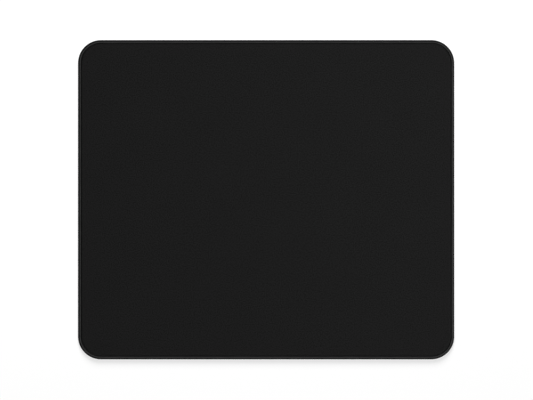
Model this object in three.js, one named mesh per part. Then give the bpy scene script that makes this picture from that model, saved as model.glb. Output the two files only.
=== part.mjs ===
// Stitched mouse pad: a woven cloth bonded to a sheet of foam rubber, whose cut edge is wrapped all round
// by a three-thread overlock seam. Millimetres, +Z up, with the origin in the middle of the underside.
import * as THREE from "three";

// Sizes of the whole pad, over the seam
const PAD_LENGTH = 330; // along X
const PAD_WIDTH = 280; // along Y
const CORNER_RADIUS = 20; // of the outer edge, seen from above

// The three bonded layers, from the desk up
const RUBBER_THICKNESS = 2.4;
const ADHESIVE_THICKNESS = 0.1;
const CLOTH_THICKNESS = 0.5;

// The overlock seam. An inset is a distance in from the pad's outer edge.
const NEEDLE_INSET = 3.05; // where the needle goes through
const CREST_INSET = 2.0; // where the wrapped thread stands highest
const NEEDLE_THREAD = 0.25; // diameter
const LOOPER_THREAD = 0.5; // thickness of a looper thread as it lies on the pad
const STITCH_LENGTH = 1.65; // along the seam's crest
const STITCH_LEAN = 0.5; // how far a stitch drifts along the seam on its way from the needle to the edge
const STITCH_DIP = 0.22; // how far the thread sinks between two stitches
const GROOVE_SLOPE = 0.2; // width of the bank from the needle's groove up to the flat cloth
const NEEDLE_DRAW_IN = 0.2; // how far the needle draws in each face of the layers, below the crest
const EDGE_DRAW_IN = 0.3; // how far the seam draws in each face of the layers at the cut edge
const CLEARANCE = 0.05; // between a thread and what it lies on
const DESK_GAP = 0.1; // how far the seam's underside stays above the desk

// Facets
const CORNER_STEPS = 8; // in a quarter circle seen from above
const SIDE_STEPS = 6; // along a straight side, on the back of a looper thread
const NEEDLE_SIDES = 6; // round the needle thread

// Heights
const PAD_THICKNESS = RUBBER_THICKNESS + ADHESIVE_THICKNESS + CLOTH_THICKNESS;
const UPPER_SEAT = PAD_THICKNESS - LOOPER_THREAD - CLEARANCE; // squeezed cloth under the upper looper thread
const LOWER_SEAT = DESK_GAP + LOOPER_THREAD + CLEARANCE; // squeezed rubber over the lower looper thread
const WAIST = (UPPER_SEAT + LOWER_SEAT) / 2; // where the two looper threads interlock at the edge
const UPPER_GROOVE = UPPER_SEAT - NEEDLE_DRAW_IN; // floor of the needle's groove in the cloth
const LOWER_GROOVE = LOWER_SEAT + NEEDLE_DRAW_IN; // and of its groove under the rubber

// Insets
const CUT_INSET = LOOPER_THREAD + CLEARANCE; // cut edge of the layers
const LIP_INSET = NEEDLE_INSET - NEEDLE_THREAD / 2 - CLEARANCE; // inner end of the looper threads
const GROOVE_INSET = NEEDLE_INSET + NEEDLE_THREAD / 2 + CLEARANCE; // inner side of the needle's groove
const FLAT_INSET = GROOVE_INSET + GROOVE_SLOPE; // the pad is flat from here to its middle

// Where the layers are squeezed, from the flat middle out to the cut edge
const SQUEEZE = [
  { inset: FLAT_INSET, under: 0, over: PAD_THICKNESS },
  { inset: GROOVE_INSET, under: LOWER_GROOVE, over: UPPER_GROOVE },
  { inset: LIP_INSET, under: LOWER_GROOVE, over: UPPER_GROOVE },
  { inset: CREST_INSET, under: LOWER_SEAT, over: UPPER_SEAT },
  { inset: CUT_INSET, under: LOWER_SEAT + EDGE_DRAW_IN, over: UPPER_SEAT - EDGE_DRAW_IN },
];
const CUT_EDGE = SQUEEZE.at(-1);

// The edge seen from above: straight sides between four corner arcs, counter-clockwise from the front
const QUARTER_TURN = Math.PI / 2;
const HALF_X = PAD_LENGTH / 2 - CORNER_RADIUS;
const HALF_Y = PAD_WIDTH / 2 - CORNER_RADIUS;
const CORNER_CENTRES = [
  new THREE.Vector2(-HALF_X, -HALF_Y),
  new THREE.Vector2(HALF_X, -HALF_Y),
  new THREE.Vector2(HALF_X, HALF_Y),
  new THREE.Vector2(-HALF_X, HALF_Y),
];
const CORNER_ARC = QUARTER_TURN * (CORNER_RADIUS - CREST_INSET); // length along the seam's crest
const SIDES = CORNER_CENTRES.map((from, side) => {
  const to = CORNER_CENTRES[(side + 1) % CORNER_CENTRES.length];
  return { from, to, length: from.distanceTo(to), facing: QUARTER_TURN * (side - 1) };
});
const SEAM_LOOP = SIDES.reduce((sum, { length }) => sum + length + CORNER_ARC, 0);

// The station that lies a given length along the seam: the centre that the edge is measured from there, and
// the angle that faces out
function stationAt(along) {
  let left = THREE.MathUtils.euclideanModulo(along, SEAM_LOOP);
  for (const { from, to, length, facing } of SIDES) {
    if (left < length) return { along, centre: from.clone().lerp(to, left / length), angle: facing };
    left -= length;
    if (left < CORNER_ARC) return { along, centre: to, angle: facing + (QUARTER_TURN * left) / CORNER_ARC };
    left -= CORNER_ARC;
  }
  return { along, centre: SIDES[0].from, angle: SIDES[0].facing };
}

// Stations that follow the outline: sideSteps along each straight side and CORNER_STEPS round each corner
function outlineStations(sideSteps) {
  const stations = [];
  let start = 0;
  for (const { length } of SIDES) {
    for (let i = 0; i < sideSteps; i++) stations.push(stationAt(start + (length * i) / sideSteps));
    start += length;
    for (let i = 0; i < CORNER_STEPS; i++) stations.push(stationAt(start + (CORNER_ARC * i) / CORNER_STEPS));
    start += CORNER_ARC;
  }
  return stations;
}

// A point of a ring: in from the edge at a station, and up from the desk
function ringPoint({ along, centre, angle }, inset, height) {
  const radius = CORNER_RADIUS - inset;
  const x = centre.x + radius * Math.cos(angle);
  const y = centre.y + radius * Math.sin(angle);
  return { along, position: new THREE.Vector3(x, y, height) };
}

function ring(stations, inset, height) {
  return stations.map((station) => ringPoint(station, inset, height));
}

// Triangles between two neighbouring rings: the one whose next point is less far along steps on
function joinRings(a, b, index) {
  const nextAlong = ({ points }, i) => points[i + 1]?.along ?? points[0].along + SEAM_LOOP;
  const vertex = ({ first, points }, i) => first + (i % points.length);
  let i = 0;
  let j = 0;
  while (i < a.points.length || j < b.points.length) {
    const stepA = j >= b.points.length || (i < a.points.length && nextAlong(a, i) <= nextAlong(b, j));
    index.push(vertex(a, i), vertex(b, j), stepA ? vertex(a, i + 1) : vertex(b, j + 1));
    if (stepA) i++;
    else j++;
  }
}

// A closed surface through rings that run outwards over the top and back inwards underneath. A sheet is
// capped across its first and last ring. A thread closes from its last ring to its first.
function loft(rings, { capped }) {
  const corners = [];
  const index = [];
  const placed = rings.map((points) => {
    const first = corners.length;
    corners.push(...points.map(({ position }) => position));
    return { first, points };
  });
  placed.forEach((band, k) => {
    if (k + 1 < placed.length) joinRings(band, placed[k + 1], index);
    else if (!capped) joinRings(band, placed[0], index);
  });
  if (capped) {
    const top = placed[0];
    const bottom = placed.at(-1);
    const flat = (points) => points.map(({ position }) => new THREE.Vector2(position.x, position.y));
    for (const [p, q, r] of THREE.ShapeUtils.triangulateShape(flat(top.points), [])) {
      index.push(top.first + p, top.first + q, top.first + r);
    }
    for (const [p, q, r] of THREE.ShapeUtils.triangulateShape(flat(bottom.points), [])) {
      index.push(bottom.first + r, bottom.first + q, bottom.first + p);
    }
  }
  const geometry = new THREE.BufferGeometry().setFromPoints(corners);
  geometry.setIndex(index);
  geometry.computeVertexNormals();
  return geometry;
}

// A bonded layer between two shares of the pad's thickness, squeezed with the others at the seam
function layer(lowShare, highShare) {
  const stations = outlineStations(1);
  const surface = (share) =>
    SQUEEZE.map(({ inset, under, over }) => ring(stations, inset, THREE.MathUtils.lerp(under, over, share)));
  return loft([...surface(highShare), ...surface(lowShare).reverse()], { capped: true });
}

// One looper thread: it runs from the needle line over the seam's crest to the waist of the edge, and its
// face stands up at each stitch and dips between two. side is 1 on the cloth and -1 under the rubber.
function looperThread(side) {
  const stitches = Math.round(SEAM_LOOP / STITCH_LENGTH);
  const pitch = SEAM_LOOP / stitches;
  const groove = side > 0 ? UPPER_GROOVE : LOWER_GROOVE;
  const seat = side > 0 ? UPPER_SEAT : LOWER_SEAT;
  const shoulder = side > 0 ? CUT_EDGE.over : CUT_EDGE.under;
  const outline = outlineStations(SIDE_STEPS);
  const bend = LOOPER_THREAD * Math.SQRT1_2; // across and up, where the thread turns over the cut edge
  const lipHeight = groove + side * CLEARANCE;
  const backHeight = seat + side * CLEARANCE;
  const backShoulder = shoulder + side * CLEARANCE;
  const backInset = CUT_INSET - CLEARANCE;
  const waist = WAIST + side * CLEARANCE;

  // The stations of the stitches, drifted along the seam, with the dips half way between them
  const stitchRing = (drift, inset, height, dip = 0) => {
    const points = [];
    for (let i = 0; i < stitches; i++) {
      const along = i * pitch;
      const station = (step) => ({ ...stationAt(along + step + drift), along: along + step });
      points.push(ringPoint(station(0), inset, height));
      if (dip) points.push(ringPoint(station(pitch / 2), inset, height - side * dip));
    }
    return points;
  };
  const rings = [
    stitchRing(0, LIP_INSET, lipHeight),
    stitchRing(STITCH_LEAN / 2, CREST_INSET, backHeight + side * LOOPER_THREAD, STITCH_DIP),
    stitchRing(STITCH_LEAN, backInset - bend, backShoulder + side * bend),
    ring(outline, backInset - LOOPER_THREAD, waist),
    ring(outline, backInset, waist),
    ring(outline, backInset, backShoulder),
    ring(outline, CREST_INSET, backHeight),
  ];
  return loft(side > 0 ? rings : rings.reverse(), { capped: false });
}

// The needle thread's row of straight stitches, in the groove that it draws into the cloth
function needleThread() {
  const radius = NEEDLE_THREAD / 2;
  const height = UPPER_GROOVE + CLEARANCE + radius;
  const stations = outlineStations(1);
  const rings = Array.from({ length: NEEDLE_SIDES }, (_, i) => {
    const turn = (2 * Math.PI * i) / NEEDLE_SIDES;
    return ring(stations, NEEDLE_INSET + radius * Math.cos(turn), height + radius * Math.sin(turn));
  });
  return loft(rings, { capped: false });
}

function piece(name, geometry, color, roughness) {
  const mesh = new THREE.Mesh(geometry, new THREE.MeshStandardMaterial({ color, roughness, metalness: 0 }));
  mesh.name = name;
  return mesh;
}

const RUBBER_SHARE = RUBBER_THICKNESS / PAD_THICKNESS;
const CLOTH_SHARE = 1 - CLOTH_THICKNESS / PAD_THICKNESS;
const THREAD_COLOR = 0x2b2b2b;
const THREAD_ROUGHNESS = 0.6;

const layers = new THREE.Group();
layers.add(
  piece("rubber_base", layer(0, RUBBER_SHARE), 0x161616, 0.85),
  piece("adhesive_film", layer(RUBBER_SHARE, CLOTH_SHARE), 0x2e2e2e, 0.5),
  piece("cloth_top", layer(CLOTH_SHARE, 1), 0x1d1d1d, 0.95),
);

const seam = new THREE.Group();
seam.add(
  piece("needle_thread", needleThread(), THREAD_COLOR, THREAD_ROUGHNESS),
  piece("upper_looper_thread", looperThread(1), THREAD_COLOR, THREAD_ROUGHNESS),
  piece("lower_looper_thread", looperThread(-1), THREAD_COLOR, THREAD_ROUGHNESS),
);

const mousePad = new THREE.Group();
mousePad.add(layers, seam);

export default mousePad;
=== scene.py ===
"""Looks of a mouse pad: woven cloth on foam rubber, with a three-thread overlock seam round its edge.

Metres, +Z up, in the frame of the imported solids: the origin is the middle of the underside, on the desk.
"""
import math

import bpy
import numpy as np
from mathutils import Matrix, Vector


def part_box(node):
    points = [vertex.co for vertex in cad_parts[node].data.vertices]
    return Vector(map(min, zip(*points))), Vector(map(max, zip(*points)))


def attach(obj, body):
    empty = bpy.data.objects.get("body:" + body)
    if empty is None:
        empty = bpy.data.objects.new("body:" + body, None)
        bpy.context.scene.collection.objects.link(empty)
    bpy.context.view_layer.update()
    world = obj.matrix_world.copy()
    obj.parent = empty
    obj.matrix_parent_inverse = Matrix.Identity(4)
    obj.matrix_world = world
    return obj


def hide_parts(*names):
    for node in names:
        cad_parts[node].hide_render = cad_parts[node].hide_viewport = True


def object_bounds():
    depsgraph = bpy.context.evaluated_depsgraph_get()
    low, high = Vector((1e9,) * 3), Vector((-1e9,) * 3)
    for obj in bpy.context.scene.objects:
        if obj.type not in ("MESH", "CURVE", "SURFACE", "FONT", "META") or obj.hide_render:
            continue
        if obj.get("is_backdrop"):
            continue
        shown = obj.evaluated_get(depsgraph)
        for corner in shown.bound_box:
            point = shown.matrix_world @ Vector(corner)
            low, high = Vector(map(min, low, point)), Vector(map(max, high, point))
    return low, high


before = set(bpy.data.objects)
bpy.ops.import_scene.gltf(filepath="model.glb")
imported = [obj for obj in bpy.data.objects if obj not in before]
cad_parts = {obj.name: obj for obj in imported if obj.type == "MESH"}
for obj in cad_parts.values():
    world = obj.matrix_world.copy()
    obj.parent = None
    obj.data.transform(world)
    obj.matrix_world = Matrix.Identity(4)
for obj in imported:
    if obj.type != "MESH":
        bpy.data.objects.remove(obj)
CAD_LOW, CAD_HIGH = (np.array(corner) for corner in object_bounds())
MM = 0.001

# The pad's sizes, from the solids where their boxes give them
LENGTH, WIDTH, THICKNESS = CAD_HIGH - CAD_LOW
RUBBER_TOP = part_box("rubber_base")[1][2]
ADHESIVE_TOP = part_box("adhesive_film")[1][2]
CORNER_RADIUS = 20 * MM

# The seam's sizes. An inset is a distance in from the pad's outer edge.
NEEDLE_INSET = 3.05 * MM
CREST_INSET = 2.0 * MM
NEEDLE_THREAD = 0.25 * MM
LOOPER_THREAD = 0.5 * MM
STITCH_LENGTH = 1.65 * MM
STITCH_LEAN = 0.5 * MM
GROOVE_SLOPE = 0.2 * MM
NEEDLE_DRAW_IN = 0.2 * MM
EDGE_DRAW_IN = 0.3 * MM
CLEARANCE = 0.05 * MM
DESK_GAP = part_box("lower_looper_thread")[0][2]

CUT_INSET = CAD_HIGH[0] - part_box("cloth_top")[1][0]
LIP_INSET = NEEDLE_INSET - NEEDLE_THREAD / 2 - CLEARANCE
GROOVE_INSET = NEEDLE_INSET + NEEDLE_THREAD / 2 + CLEARANCE
FLAT_INSET = GROOVE_INSET + GROOVE_SLOPE
UPPER_SEAT = THICKNESS - LOOPER_THREAD - CLEARANCE
LOWER_SEAT = DESK_GAP + LOOPER_THREAD + CLEARANCE
WAIST = (UPPER_SEAT + LOWER_SEAT) / 2
UPPER_GROOVE = UPPER_SEAT - NEEDLE_DRAW_IN
LOWER_GROOVE = LOWER_SEAT + NEEDLE_DRAW_IN

# The edge seen from above: straight runs and corner arcs in turn, counter-clockwise from the front.
# The middles of the arcs are the corners of a rectangle.
HALF_RECTANGLE = np.array([LENGTH, WIDTH]) / 2 - CORNER_RADIUS
ARC_MIDDLES = HALF_RECTANGLE * [(-1, -1), (1, -1), (1, 1), (-1, 1)]
CORNER_ARC = math.pi / 2 * (CORNER_RADIUS - CREST_INSET)
RUNS = np.array([2 * HALF_RECTANGLE[0], CORNER_ARC, 2 * HALF_RECTANGLE[1], CORNER_ARC] * 2)
RUN_STARTS = np.concatenate([[0], np.cumsum(RUNS)])
SEAM_LOOP = RUN_STARTS[-1]
STITCHES = round(SEAM_LOOP / STITCH_LENGTH)
PITCH = SEAM_LOOP / STITCHES


def blend(start, end, share):
    return start + (end - start) * share


def smooth_step(t):
    return t * t * (3 - 2 * t)


def unit(rows):
    """Vectors, one in each row, brought to length 1."""
    return rows / np.linalg.norm(rows, axis=1, keepdims=True)


def edge(along, inset):
    """Points (x, y) at lengths along the seam and at insets, and the directions that face out there."""
    along = np.asarray(along) % SEAM_LOOP
    run = np.clip(np.searchsorted(RUN_STARTS, along, side="right") - 1, 0, len(RUNS) - 1)
    share = (along - RUN_STARTS[run]) / RUNS[run]
    side, straight = run // 2, run % 2 == 0
    start, end = ARC_MIDDLES[side], ARC_MIDDLES[(side + 1) % len(ARC_MIDDLES)]
    middle = np.where(straight[:, None], blend(start, end, share[:, None]), end)
    angle = math.pi / 2 * (side - 1 + np.where(straight, 0, share))
    out = np.stack([np.cos(angle), np.sin(angle)], axis=1)
    radius = CORNER_RADIUS - np.broadcast_to(inset, along.shape)
    return middle + out * radius[:, None], out


def outline_stations(side_steps, corner_steps):
    """Lengths along the seam: steps on each straight side, by its direction, and round each corner."""
    steps = [side_steps[0], corner_steps, side_steps[1], corner_steps] * 2
    runs = zip(RUN_STARTS, RUNS, steps)
    return np.concatenate([start + length * np.arange(count) / count for start, length, count in runs])


def grid_quads(numbers):
    """The cells of a grid of point numbers, each by its four corners in turn."""
    corners = [numbers[:-1, :-1], numbers[:-1, 1:], numbers[1:, 1:], numbers[1:, :-1]]
    return np.stack(corners, axis=-1).reshape(-1, 4)


def new_object(name, vertices, faces, material):
    mesh = bpy.data.meshes.new(name)
    mesh.from_pydata(np.asarray(vertices).tolist(), [], [list(map(int, face)) for face in faces])
    mesh.materials.append(material)
    mesh.polygons.foreach_set("use_smooth", [True] * len(mesh.polygons))
    mesh.update()
    piece = bpy.data.objects.new(name, mesh)
    bpy.context.collection.objects.link(piece)
    return piece


# Materials

# Angles by which Blender's wave texture turns over a unit along an axis, for each direction of its bands
WAVE_ANGLES = {"X": 20, "Y": 20, "DIAGONAL": 10}

# The UV map along and round a thread, and the length of one turn of its twist
THREAD_LAY = "thread"
THREAD_TWIST = 2.4 * MM


def new_material(name):
    material = bpy.data.materials.new(name)
    material.use_nodes = True
    return material, material.node_tree, material.node_tree.nodes["Principled BSDF"]


def add_node(tree, kind, inputs=(), **settings):
    """A node with its settings, and with each of its inputs set to a number or linked to a socket."""
    node = tree.nodes.new(kind)
    for key, value in settings.items():
        setattr(node, key, value)
    for key, value in dict(inputs).items():
        if isinstance(value, bpy.types.NodeSocket):
            tree.links.new(value, node.inputs[key])
        else:
            node.inputs[key].default_value = value
    return node


def set_shader(tree, shader, links, **values):
    """Links sockets to a shader's inputs, and sets its other inputs to numbers."""
    for name, socket in links.items():
        tree.links.new(socket, shader.inputs[name])
    for name, value in values.items():
        shader.inputs[name.replace("_", " ")].default_value = value


def grey(value):
    return (value, value, value, 1)


def shade_ramp(tree, factor, dark, light):
    """Colours between a dark and a light grey, each given by its factor and its value."""
    ramp = add_node(tree, "ShaderNodeValToRGB", {"Fac": factor})
    for element, (place, value) in zip(ramp.color_ramp.elements, (dark, light)):
        element.position = place
        element.color = grey(value)
    return ramp.outputs["Color"]


def noise(tree, place, size, detail):
    """Noise whose features are about a size apart."""
    inputs = {"Vector": place, "Scale": 1 / size, "Detail": detail}
    return add_node(tree, "ShaderNodeTexNoise", inputs).outputs["Fac"]


def bands(tree, place, length, direction, **distortion):
    """Waves of a length along a direction, each with its crest in its middle."""
    scale = 2 * math.pi / WAVE_ANGLES[direction] / length
    inputs = {"Vector": place, "Scale": scale, **distortion}
    return add_node(tree, "ShaderNodeTexWave", inputs, bands_direction=direction).outputs["Fac"]


def spread(tree, value, start, end):
    """A value from 0 to 1 as a value from a start to an end."""
    inputs = {"Value": value, "To Min": start, "To Max": end}
    return add_node(tree, "ShaderNodeMapRange", inputs).outputs[0]


def rise(tree, value, start, end):
    """0 up to a start and 1 from an end on, with a smooth rise between them."""
    inputs = {"Value": value, "From Min": start, "From Max": end}
    return add_node(tree, "ShaderNodeMapRange", inputs, interpolation_type="SMOOTHSTEP").outputs[0]


def mixed(tree, first, second, share):
    """The first value with a share of the second in it."""
    return add_node(tree, "ShaderNodeMix", {0: share, 2: first, 3: second}).outputs[0]


def calculated(tree, operation, first, second):
    return add_node(tree, "ShaderNodeMath", {0: first, 1: second}, operation=operation).outputs[0]


def bumped(tree, height, strength, depth):
    inputs = {"Height": height, "Strength": strength, "Distance": depth}
    return add_node(tree, "ShaderNodeBump", inputs).outputs["Normal"]


def object_place(tree):
    return add_node(tree, "ShaderNodeTexCoord").outputs["Object"]


def cloth_material():
    """Black polyester in a plain weave: in each cell of a checkerboard, the warp or the weft lies on top."""
    yarn = 0.4 * MM
    material, tree, shader = new_material("black_cloth")
    place = object_place(tree)
    warp, weft = (bands(tree, place, yarn, direction, Distortion=0.6) for direction in "XY")
    cell = add_node(tree, "ShaderNodeTexChecker", {"Vector": place, "Scale": 1 / yarn}).outputs["Fac"]
    weave = mixed(tree, warp, weft, share=cell)
    lint = noise(tree, place, size=1.0 * MM, detail=3)
    cloud = noise(tree, place, size=45 * MM, detail=4)
    mottle = mixed(tree, lint, cloud, share=0.04)
    tone = mixed(tree, mottle, weave, share=0.2)
    links = {
        "Base Color": shade_ramp(tree, tone, dark=(0.3, 0.0018), light=(0.7, 0.0156)),
        "Roughness": spread(tree, weave, 0.95, 0.82),
        "Normal": bumped(tree, weave, strength=0.6, depth=0.08 * MM),
    }
    set_shader(tree, shader, links, Specular_IOR_Level=0.03, Sheen_Weight=0.02, Sheen_Roughness=0.5)
    return material


def thread_material():
    """Black textured polyester thread: a lightly twisted bundle of filaments.

    Its colour is painted paler along the crest of the seam, a painted highlight; below the crest it keeps
    the darker thread colour.
    """
    filaments = 14
    painted_highlight_depth = 0.18 * MM
    material, tree, shader = new_material("black_thread")
    lay = add_node(tree, "ShaderNodeUVMap", uv_map=THREAD_LAY).outputs["UV"]
    by_filament = {"Vector": lay, "Scale": (1, filaments, 1)}
    round_it = add_node(tree, "ShaderNodeMapping", by_filament).outputs["Vector"]
    strands = bands(tree, round_it, length=1, direction="DIAGONAL", Distortion=1.5, Detail=2.0)
    place = object_place(tree)
    fuzz = noise(tree, place, size=0.35 * MM, detail=2)
    fibre = mixed(tree, strands, fuzz, share=0.35)
    height = add_node(tree, "ShaderNodeSeparateXYZ", {"Vector": place}).outputs["Z"]
    # Painted highlight: the thread is painted paler within 0.18 mm of the pad's top, along the seam's crest
    crest_highlight = rise(tree, height, THICKNESS - painted_highlight_depth, THICKNESS)
    tone = mixed(tree, fibre, crest_highlight, share=0.6)
    links = {
        "Base Color": shade_ramp(tree, tone, dark=(0.15, 0.0055), light=(0.9, 0.079)),
        "Roughness": spread(tree, fuzz, 0.55, 0.75),
        "Normal": bumped(tree, fibre, strength=0.8, depth=0.03 * MM),
    }
    set_shader(tree, shader, links, Specular_IOR_Level=0.03)
    return material


def rubber_material():
    """Black foam rubber with a fine open skin."""
    pore = 0.4 * MM
    material, tree, shader = new_material("black_rubber")
    place = object_place(tree)
    bloom = noise(tree, place, size=16 * MM, detail=5)
    pores = add_node(tree, "ShaderNodeTexVoronoi", {"Vector": place, "Scale": 1 / pore}).outputs["Distance"]
    links = {
        "Base Color": shade_ramp(tree, bloom, dark=(0.3, 0.010), light=(0.7, 0.016)),
        "Roughness": spread(tree, bloom, 0.7, 0.9),
        "Normal": bumped(tree, pores, strength=0.25, depth=0.05 * MM),
    }
    set_shader(tree, shader, links, Specular_IOR_Level=0.2)
    return material


def adhesive_material():
    """Hot-melt film between the black layers, slightly cloudy."""
    material, tree, shader = new_material("hot_melt_film")
    cloud = noise(tree, object_place(tree), size=12 * MM, detail=4)
    links = {
        "Base Color": shade_ramp(tree, cloud, dark=(0.2, 0.02), light=(0.8, 0.035)),
        "Roughness": spread(tree, cloud, 0.4, 0.6),
    }
    set_shader(tree, shader, links, Specular_IOR_Level=0.2)
    return material


# Bonded layers

# Stations along the seam: coarse ones in step with the flat middle's grid, and fine ones with the stitches
GRID_STEPS = np.array([116, 96])
CORNER_STEPS = 12
COARSE = outline_stations(GRID_STEPS, CORNER_STEPS)
PLACES_PER_STITCH = 4
FINE = np.arange(STITCHES * PLACES_PER_STITCH) * PITCH / PLACES_PER_STITCH

# Distances within which two stations count as one, and a point counts as lying on an outline
SAME_STATION = CLEARANCE / 100
ON_OUTLINE = CLEARANCE / 1000


class Skin:
    """A closed surface that is laid ring by ring, outwards over the top and back inwards underneath."""

    def __init__(self):
        self.points = []
        self.faces = []

    def add(self, points):
        """Adds points and returns their numbers."""
        first = len(self.points)
        self.points.extend(points.tolist())
        return np.arange(first, len(self.points))

    def ring(self, stations, inset, height):
        """Adds a point at each station. Returns the stations with the points' numbers."""
        plan, _ = edge(stations, inset)
        heights = np.broadcast_to(height, stations.shape)
        return stations, self.add(np.column_stack([plan, heights]))

    def join(self, first, second):
        """Faces between two neighbouring rings: the one whose next point is nearer steps on."""
        (along_a, a), (along_b, b) = first, second
        next_a = np.append(along_a[1:], SEAM_LOOP)
        next_b = np.append(along_b[1:], SEAM_LOOP)
        i = j = 0
        while i < len(a) or j < len(b):
            p, q = a[i % len(a)], b[j % len(b)]
            both = i < len(a) and j < len(b) and abs(next_a[i] - next_b[j]) < SAME_STATION
            step_a = both or j == len(b) or (i < len(a) and next_a[i] < next_b[j])
            step_b = both or not step_a
            i, j = i + step_a, j + step_b
            self.faces.append([p, q] + [b[j % len(b)]] * step_b + [a[i % len(a)]] * step_a)

    def lay(self, rings):
        for first, second in zip(rings, rings[1:]):
            self.join(first, second)

    def cap(self, ring, height, upward):
        """The flat middle inside a ring of coarse stations: a grid on the rectangle, and its border."""
        spans = zip(HALF_RECTANGLE, GRID_STEPS)
        x, y = np.meshgrid(*(np.linspace(-half, half, steps + 1) for half, steps in spans))
        grid = self.add(np.column_stack([x.ravel(), y.ravel(), np.full(x.size, height)])).reshape(x.shape)
        faces = grid_quads(grid).tolist()
        sides = [grid[0, :], grid[:, -1], grid[-1, ::-1], grid[::-1, 0]]
        inner = np.concatenate([np.append(side[:-1], [side[-1]] * CORNER_STEPS) for side in sides])
        outer = ring[1]
        for k in range(len(outer)):
            after = (k + 1) % len(outer)
            middle = [inner[after], inner[k]] if inner[after] != inner[k] else [inner[k]]
            faces.append([outer[k], outer[after], *middle])
        self.faces.extend(face if upward else face[::-1] for face in faces)


def squeezed_edge(skin, share):
    """Rings at a share of the pad's thickness, under the threads: from the groove to the cut edge."""
    profile = [
        (GROOVE_INSET, NEEDLE_DRAW_IN),
        (LIP_INSET, NEEDLE_DRAW_IN),
        (CREST_INSET, 0),
        (CUT_INSET, EDGE_DRAW_IN),
    ]
    rings = []
    for inset, draw_in in profile:
        height = blend(LOWER_SEAT + draw_in, UPPER_SEAT - draw_in, share)
        rings.append(skin.ring(COARSE, inset, height))
    return rings


def bonded_face(skin, share):
    """Rings of a face between two layers, which follows the squeeze in plain steps."""
    flat_insets = (2 * CORNER_RADIUS / 3, FLAT_INSET)
    flat = [skin.ring(COARSE, inset, share * THICKNESS) for inset in flat_insets]
    return flat + squeezed_edge(skin, share)


def cloth_face(skin):
    """Rings of the cloth's upper face. The needle thread draws the bank of its groove in at every stitch."""
    seed = 5
    pull = 0.12 * MM
    weakest_pull = 0.4
    pull_down = 0.25
    pull_fades = 5.0 * MM
    coarse_insets = (16 * MM, 12 * MM, 9 * MM, 7 * MM)
    fine_from = 6.0 * MM
    fine_steps = 5
    bank_steps = 7
    random = np.random.default_rng(seed)
    strength = np.repeat(random.uniform(weakest_pull, 1.0, STITCHES), PLACES_PER_STITCH)
    draw = pull * strength * (0.5 + 0.5 * np.cos(2 * math.pi * FINE / PITCH))
    rings = [skin.ring(COARSE, inset, THICKNESS) for inset in coarse_insets]
    for inset in np.linspace(fine_from, FLAT_INSET, fine_steps, endpoint=False):
        near = smooth_step(np.clip((pull_fades - inset) / (pull_fades - FLAT_INSET), 0, 1))
        rings.append(skin.ring(FINE, inset + draw * near, THICKNESS - pull_down * draw * near))
    for t in np.arange(bank_steps) / bank_steps:
        inset = blend(FLAT_INSET, GROOVE_INSET, t)
        height = blend(THICKNESS, UPPER_GROOVE, smooth_step(t))
        rings.append(skin.ring(FINE, inset + draw * (1 - t), height - pull_down * draw * (1 - t)))
    return rings + squeezed_edge(skin, 1)


def build_cloth(name, material):
    skin = Skin()
    top = cloth_face(skin)
    bottom = bonded_face(skin, ADHESIVE_TOP / THICKNESS)
    skin.lay(top + bottom[::-1])
    skin.cap(top[0], THICKNESS, upward=True)
    skin.cap(bottom[0], ADHESIVE_TOP, upward=False)
    return new_object(name, skin.points, skin.faces, material)


# Diamond grip moulded into the rubber's underside: ridges that cross at right angles and leave hollows
GRIP_PITCH = 3.3 * MM
GRIP_BANK = 0.9 * MM
GRIP_DEPTH = 0.3 * MM


def grip_nodes():
    """Crossings of the grip's lines (rows of x, y, z) and the cells between them.

    The lines run slantwise, an eighth of a turn from the sides: ridges, and the feet of their banks.
    """
    slant = math.sqrt(0.5)
    reach = (LENGTH + WIDTH) / 2 * slant
    steps = math.ceil(reach / GRIP_PITCH)
    ridges = np.arange(-steps, steps + 1) * GRIP_PITCH
    ridge_and_feet = [0, GRIP_BANK, GRIP_PITCH - GRIP_BANK]
    lines = (ridges[:, None] + ridge_and_feet).ravel()
    on_ridge = np.arange(len(lines)) % len(ridge_and_feet) == 0
    u, v = np.meshgrid(lines, lines, indexing="ij")
    height = np.where(on_ridge[:, None] | on_ridge, 0, GRIP_DEPTH)
    nodes = np.stack([(u - v) * slant, (u + v) * slant, height], axis=-1)
    return nodes.reshape(-1, 3), grid_quads(np.arange(u.size).reshape(u.shape))


def outline_walls():
    """Walls along the flat underside's outline: their inward directions and their offsets."""
    corners, _ = edge(outline_stations((1, 1), CORNER_STEPS), FLAT_INSET)
    sides = np.roll(corners, -1, axis=0) - corners
    inward = unit(np.column_stack([-sides[:, 1], sides[:, 0]]))
    return inward, (inward * corners).sum(axis=1)


def clipped(polygon, walls):
    """The part of a polygon (rows of x, y, z) inside walls, each an inward direction and an offset."""
    for inward, offset in walls:
        depth = polygon[:, :2] @ inward - offset
        kept = []
        for k in range(len(polygon)):
            if (depth[k - 1] >= 0) != (depth[k] >= 0):
                share = depth[k - 1] / (depth[k - 1] - depth[k])
                kept.append(blend(polygon[k - 1], polygon[k], share))
            if depth[k] >= 0:
                kept.append(polygon[k])
        if len(kept) < 3:
            return []
        polygon = np.array(kept)
    return polygon


def seam_places(plan):
    """Lengths along the seam of points on the flat underside's outline, by how they lie from the middle."""
    samples = 5000
    along = np.linspace(0, SEAM_LOOP, samples)
    table, _ = edge(along[:-1], FLAT_INSET)
    turn = np.unwrap(np.arctan2(table[:, 1], table[:, 0]))
    way = np.arctan2(plan[:, 1], plan[:, 0])
    return np.interp((way - turn[0]) % (2 * math.pi), np.append(turn - turn[0], 2 * math.pi), along)


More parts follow.
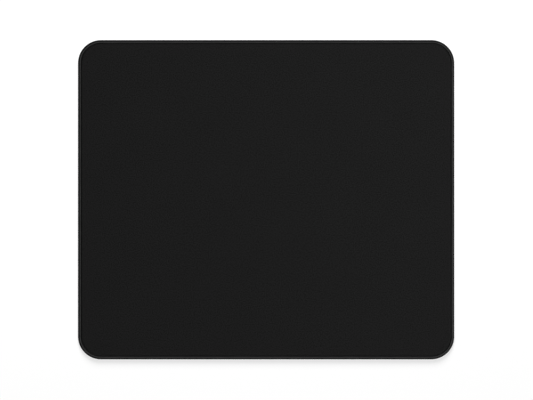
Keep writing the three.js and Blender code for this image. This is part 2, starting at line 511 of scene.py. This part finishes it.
def grip_face(skin):
    """The grip, cut off at the flat underside's outline. Returns its ring there, and the ring's heights."""
    digits = 5
    nodes, quads = grip_nodes()
    inward, offsets = outline_walls()
    outside = nodes[:, :2] @ inward.T < offsets
    beyond = outside.any(axis=1)[quads]
    whole = quads[~beyond.any(axis=1)]
    cut = quads[beyond.any(axis=1) & ~beyond.all(axis=1)]
    numbers = {}

    def number_of(point):
        """The number of a point, which all faces that meet there share."""
        key = tuple(np.round(point / MM, digits).tolist())
        if key not in numbers:
            numbers[key] = skin.add(point[None])[0]
        return numbers[key]

    used = np.unique(whole)
    place = dict(zip(used.tolist(), [number_of(node) for node in nodes[used]]))
    skin.faces.extend([place[k] for k in quad] for quad in whole.tolist())
    rim = set()
    for quad in cut:
        walls = np.flatnonzero(outside[quad].any(axis=0))
        face = [number_of(point) for point in clipped(nodes[quad], zip(inward[walls], offsets[walls]))]
        face = [k for k, following in zip(face, face[1:] + face[:1]) if k != following]
        if len(face) > 2:
            skin.faces.append(face)
            rim.update(face)
    rim = np.array(sorted(rim))
    points = np.array(skin.points)[rim]
    on_outline = (points[:, :2] @ inward.T - offsets).min(axis=1) < ON_OUTLINE
    rim, points = rim[on_outline], points[on_outline]
    along = seam_places(points[:, :2])
    order = np.argsort(along)
    return (along[order], rim[order]), points[order, 2]


def build_rubber(name, material):
    bank_steps = 5
    skin = Skin()
    top = bonded_face(skin, RUBBER_TOP / THICKNESS)
    rim, heights = grip_face(skin)
    bank = [rim]
    for t in np.arange(1, bank_steps) / bank_steps:
        inset = blend(FLAT_INSET, GROOVE_INSET, t)
        bank.append(skin.ring(rim[0], inset, blend(heights, LOWER_GROOVE, smooth_step(t))))
    bottom = bank + squeezed_edge(skin, 0)
    skin.lay(top + bottom[::-1])
    skin.cap(top[0], RUBBER_TOP, upward=True)
    return new_object(name, skin.points, skin.faces, material)


# Threads

# A looper thread's width, and its section's corners: full outside, and narrower where it lies on the layers
LOOPER_WIDTH = 0.88 * MM
LOOPER_CORNERS = np.array([(0.85, -0.55), (1.0, 0.4), (0.6, 1.0), (-0.6, 1.0), (-1.0, 0.4), (-0.85, -0.55)])

# Middle of the upper looper thread in the seam's section, by inset and height: from its turn in the cloth,
# where the needle thread holds it, over the crest to its turn at the waist
LOOPER_SECTION = np.array([
    (2.66 * MM, UPPER_GROOVE - 0.25 * MM),
    (2.56 * MM, UPPER_GROOVE - 0.05 * MM),
    (2.43 * MM, UPPER_GROOVE + 0.17 * MM),
    (2.22 * MM, UPPER_SEAT + 0.17 * MM),
    (1.85 * MM, THICKNESS - LOOPER_THREAD / 2),
    (1.45 * MM, THICKNESS - 0.40 * MM),
    (1.06 * MM, THICKNESS - 0.73 * MM),
    (0.62 * MM, THICKNESS - 1.09 * MM),
    (0.27 * MM, WAIST + 0.20 * MM),
])


def curve_through(points):
    """A Catmull-Rom curve through points of a section, in many short steps, and the lengths along it."""
    steps = 40
    padded = np.concatenate([[2 * points[0] - points[1]], points, [2 * points[-1] - points[-2]]])
    t = np.linspace(0, 1, steps, endpoint=False)[:, None]
    pieces = []
    for a, b, c, d in zip(padded, padded[1:], padded[2:], padded[3:]):
        square = a - 2.5 * b + 2 * c - d / 2
        cube = 1.5 * (b - c) + (d - a) / 2
        pieces.append(b + t * (c - a) / 2 + t**2 * square + t**3 * cube)
    curve = np.concatenate([*pieces, points[-1:]])
    return curve, np.append(0, np.cumsum(np.linalg.norm(np.diff(curve, axis=0), axis=1)))


def map_lay(piece, path, section):
    """Gives a cord its UV map: along it in lengths of the thread's twist, and round it in turns."""
    steps = np.linalg.norm(np.roll(path, -1, axis=0) - path, axis=1) / THREAD_TWIST
    end = np.cumsum(steps)[:, None]
    start = end - steps[:, None]
    near = np.unwrap(np.arctan2(section[:, 1], section[:, 0])) / (2 * math.pi)
    far = np.append(near[1:], near[0] + 1)
    corners = [(start, near), (end, near), (end, far), (start, far)]
    lay = np.stack([np.stack(np.broadcast_arrays(u, v), axis=-1) for u, v in corners], axis=2)
    piece.data.uv_layers.new(name=THREAD_LAY).data.foreach_set("uv", lay.ravel())


def cord(name, path, up, widths, heights, section, material):
    """A closed cord along a closed path.

    Its section is a polygon, across and up in shares of half the cord's width and half its height.
    """
    ahead = unit(np.roll(path, -1, axis=0) - np.roll(path, 1, axis=0))
    across = unit(np.cross(ahead, up))
    up = np.cross(across, ahead)
    rim = section[None, :, :1] * across[:, None, :] * (widths / 2)[:, None, None]
    rim = rim + section[None, :, 1:] * up[:, None, :] * (heights / 2)[:, None, None]
    sides = len(section)
    i, j = np.arange(len(path))[:, None], np.arange(sides)[None, :]
    following, beside = (i + 1) % len(path), (j + 1) % sides
    corners = [i * sides + j, following * sides + j, following * sides + beside, i * sides + beside]
    faces = np.stack(corners, axis=-1).reshape(-1, 4)
    piece = new_object(name, (path[:, None, :] + rim).reshape(-1, 3), faces, material)
    map_lay(piece, path, section)
    return piece


def looper_pass():
    """One stitch of a looper thread, out to the waist and back.

    Returns its insets and heights, how far its outside faces out and up, and its places along the seam.
    """
    steps, waist_steps, hidden_steps = 7, 5, 3
    radius = PITCH / 4
    curve, lengths = curve_through(LOOPER_SECTION)
    slope = unit(np.gradient(curve, axis=0))
    bend = np.append(0, np.cumsum(np.linalg.norm(np.diff(slope, axis=0), axis=1)))
    first, last = radius, lengths[-1] - radius
    # Steps shorten where the thread bends
    effort = lengths / lengths[-1] + bend / bend[-1]
    low, high = np.interp([first, last], lengths, effort)
    out = np.interp(np.linspace(low, high, steps), effort, lengths)
    waist = math.pi * np.arange(1, waist_steps + 1) / (waist_steps + 1)
    hidden = math.pi * np.arange(1, hidden_steps + 1) / (hidden_steps + 1)
    reach = np.concatenate([out, last + radius * np.sin(waist), out[::-1], first - radius * np.sin(hidden)])
    drift = STITCH_LEAN * (out - first) / (last - first)
    along = np.concatenate([
        drift,
        STITCH_LEAN + radius * (1 - np.cos(waist)),
        PITCH / 2 + drift[::-1],
        PITCH / 2 + radius * (1 - np.cos(hidden)),
    ])
    inset, height, d_inset, d_height = (
        np.interp(reach, lengths, column) for column in np.column_stack([curve, slope]).T
    )
    return inset, height, -d_height, -d_inset, along


def looper_thread(name, material, side, shift, seed):
    """A looper thread above (side 1) or below (side -1) the waist, with no two stitches quite alike."""
    # Standard deviations of a stitch's place along the seam, of its width and of its height
    wander, swell, lift = 0.015 * MM, 0.02, 0.004 * MM
    inset, height, out_part, up_part, along = looper_pass()
    count = len(along)
    random = np.random.default_rng(seed)
    wanders = random.normal(0, wander, STITCHES)
    swells = np.repeat(random.normal(1, swell, STITCHES), count)
    lifts = np.repeat(random.normal(0, lift, STITCHES), count)
    places = (np.arange(STITCHES) * PITCH + wanders)[:, None] + along + shift
    points, out = edge(places.ravel(), np.tile(inset, STITCHES) + lifts)
    heights = WAIST + side * (np.tile(height, STITCHES) - WAIST + lifts)
    path = np.column_stack([points, heights])
    up = np.column_stack([out * np.tile(out_part, STITCHES)[:, None], side * np.tile(up_part, STITCHES)])
    thickness = np.full(len(path), LOOPER_THREAD)
    return cord(name, path, up, LOOPER_WIDTH * swells, thickness, LOOPER_CORNERS, material)


def needle_thread(name, material):
    """The needle thread's row of stitches along the groove. Each dives into the layers at both ends."""
    samples = 8
    corners = 6
    dive = 0.3 * MM
    dive_share = 0.13
    top = UPPER_GROOVE + CLEARANCE + NEEDLE_THREAD / 2
    share = np.arange(samples) / samples
    away = np.minimum(share, 1 - share)
    height = top - dive * np.exp(-((away / dive_share) ** 2))
    places = (np.arange(STITCHES)[:, None] + share[None, :]).ravel() * PITCH
    points, _ = edge(places, NEEDLE_INSET)
    path = np.column_stack([points, np.tile(height, STITCHES)])
    up = np.tile([0.0, 0.0, 1.0], (len(path), 1))
    width = np.full(len(path), NEEDLE_THREAD)
    turn = 2 * math.pi * np.arange(corners) / corners
    section = np.column_stack([np.cos(turn), np.sin(turn)])
    return cord(name, path, up, width, width, section, material)


# The pad


def fit(piece, node):
    """Puts a piece in the place of a solid."""
    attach(piece, "root")
    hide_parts(node)


def build_pad():
    """All pieces of the pad, each on its own. Returns them, the cloth first."""
    cloth = build_cloth("woven_cloth", cloth_material())
    fit(cloth, "cloth_top")

    rubber = build_rubber("foam_rubber_base", rubber_material())
    fit(rubber, "rubber_base")

    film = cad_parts["adhesive_film"]
    film.data.materials.clear()
    film.data.materials.append(adhesive_material())

    thread = thread_material()
    upper = looper_thread("upper_looper_stitches", thread, side=1, shift=0, seed=11)
    fit(upper, "upper_looper_thread")
    lower = looper_thread("lower_looper_stitches", thread, side=-1, shift=PITCH / 2, seed=12)
    fit(lower, "lower_looper_thread")
    needle = needle_thread("needle_stitches", thread)
    fit(needle, "needle_thread")
    return [cloth, rubber, film, upper, lower, needle]


# Studio


def seen_directly(tree):
    """1 for a ray from the camera, a mirror or glass, and 0 for light that falls on the object."""
    path = add_node(tree, "ShaderNodeLightPath")
    seen = path.outputs["Is Camera Ray"]
    for kind in ("Is Glossy Ray", "Is Transmission Ray"):
        seen = calculated(tree, "MAXIMUM", seen, path.outputs[kind])
    return seen


def build_floor():
    """A white floor that keeps the pad's shadow, and far from the pad is as white as the backdrop.

    Near the pad it is lit paint, and a glow that is only seen lifts the paint to white.
    """
    half = 4.0
    paint, lift = 0.4, 0.745
    plain_from, white_from = 0.27, 0.5
    material = bpy.data.materials.new("white_floor")
    material.use_nodes = True
    tree = material.node_tree
    tree.nodes.clear()
    direct = seen_directly(tree)
    place = object_place(tree)
    away = add_node(tree, "ShaderNodeVectorMath", {0: place}, operation="LENGTH").outputs["Value"]
    far = rise(tree, away, plain_from, white_from)
    diffuse = add_node(tree, "ShaderNodeBsdfDiffuse", {"Color": grey(paint)})
    glow = add_node(tree, "ShaderNodeEmission", {"Strength": calculated(tree, "MULTIPLY", direct, lift)})
    near = add_node(tree, "ShaderNodeAddShader", {0: diffuse.outputs[0], 1: glow.outputs[0]})
    white = add_node(tree, "ShaderNodeEmission", {"Strength": direct})
    both = add_node(tree, "ShaderNodeMixShader", {0: far, 1: near.outputs[0], 2: white.outputs[0]})
    add_node(tree, "ShaderNodeOutputMaterial", {"Surface": both.outputs[0]})
    corners = [(-half, -half, 0), (half, -half, 0), (half, half, 0), (-half, half, 0)]
    floor = new_object("floor", corners, [(0, 1, 2, 3)], material)
    floor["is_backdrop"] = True
    return floor


def build_world():
    """A backdrop that is seen as white and lights the pad faintly from all sides."""
    ambient, seen = 0.1, 1.0
    world = bpy.data.worlds.new("studio")
    world.use_nodes = True
    bpy.context.scene.world = world
    tree = world.node_tree
    tree.nodes.clear()
    strength = spread(tree, seen_directly(tree), ambient, seen)
    sky = add_node(tree, "ShaderNodeBackground", {"Color": grey(1), "Strength": strength})
    add_node(tree, "ShaderNodeOutputWorld", {"Surface": sky.outputs[0]})


def add_softbox(name, place, size, level, lit):
    """An area light that faces the pad's middle and falls on the lit objects alone.

    A surface there that faces the light gets its level, where 1 shows a colour as it is written.
    """
    light = bpy.data.lights.new(name, "AREA")
    light.shape = "RECTANGLE"
    light.size, light.size_y = size
    # At that distance, a light of this power gives an irradiance of pi times the level
    light.energy = level * math.pi**2 * Vector(place).length_squared
    lamp = bpy.data.objects.new(name, light)
    lamp.location = place
    lamp.rotation_euler = (-Vector(place)).to_track_quat("-Z", "Y").to_euler()
    bpy.context.collection.objects.link(lamp)
    group = bpy.data.collections.new(f"lit_by_{name}")
    for item in lit:
        group.objects.link(item)
    lamp.light_linking.receiver_collection = group


def build_lights(pad, floor):
    """Light on the pad from the right and from above, extra light on the cloth, and the floor's own."""
    cloth = pad[0]
    add_softbox("right", place=(6.26, -2.03, 2.39), size=(4.0, 1.4), level=0.95, lit=pad)
    add_softbox("overhead", place=(0, 0, 7), size=(2.0, 2.0), level=0.31, lit=pad)
    add_softbox("upper_right", place=(0.48, 0.42, 0.85), size=(0.45, 0.45), level=0.6, lit=[cloth])
    add_softbox("behind", place=(0, 1.62, 0.79), size=(0.7, 0.64), level=1.6, lit=[floor])


def build_camera():
    """Straight down, with the pad where the photograph has it, slightly off the middle of the frame."""
    frame_pixels = 533
    pad_pixels = 376.0
    frame_width = frame_pixels * LENGTH / pad_pixels
    off_centre = (0.33 * MM, -0.24 * MM)
    lens, sensor = 100, 36
    data = bpy.data.cameras.new("camera")
    data.lens, data.sensor_width = lens, sensor
    camera = bpy.data.objects.new("camera", data)
    camera.location = (*off_centre, WAIST + frame_width * lens / sensor)
    bpy.context.collection.objects.link(camera)
    bpy.context.scene.camera = camera


bpy.context.scene.view_settings.view_transform = "Standard"
pad_pieces = build_pad()
floor_piece = build_floor()
build_world()
build_lights(pad_pieces, floor_piece)
build_camera()
